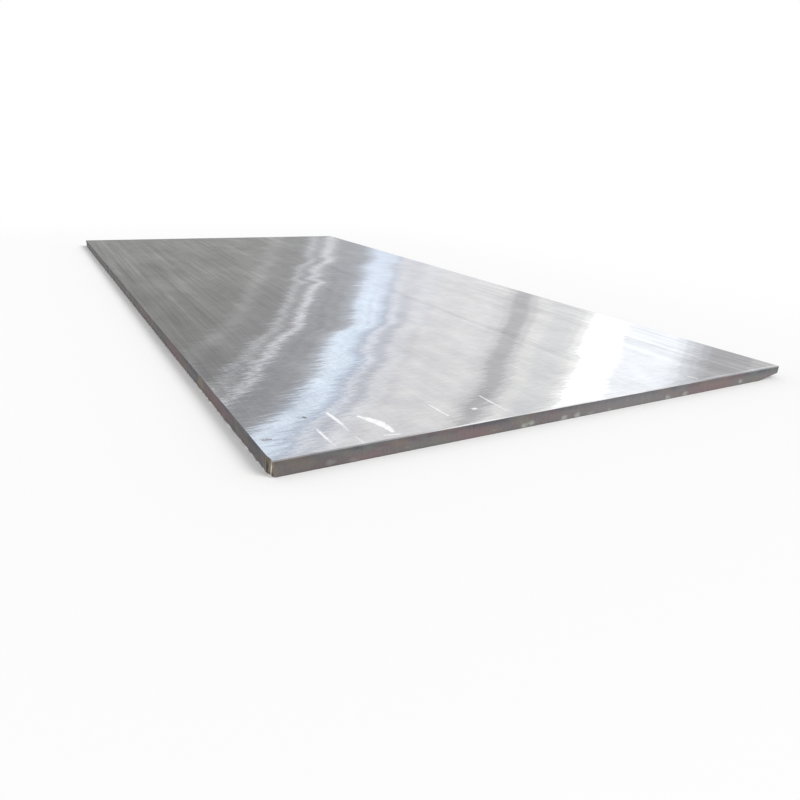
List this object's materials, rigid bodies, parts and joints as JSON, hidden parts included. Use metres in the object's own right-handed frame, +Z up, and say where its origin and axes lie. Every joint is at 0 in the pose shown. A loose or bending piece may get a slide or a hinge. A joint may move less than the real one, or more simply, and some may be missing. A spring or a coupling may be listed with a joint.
{
  "type": "steel plate",
  "caption": "Flat rectangular heavy steel plate, ground bright on its upper face, with flame-cut edges: stock for cutting, welding and machining.",
  "frame": {"origin": "middle of the underside, where the plate lies on the ground", "axes": "+Z up through the thickness, +Y along the length (the rolling direction), +X across the width"},
  "size_m": [2, 4.2, 0.045],
  "materials": {
    "plate_steel": "ground lengthwise on the upper face, flame cut and lightly rusted at the edges, mill scale underneath"
  },
  "bodies": {
    "root": {"steel_plate": "plate_steel"}
  },
  "joints": []
}
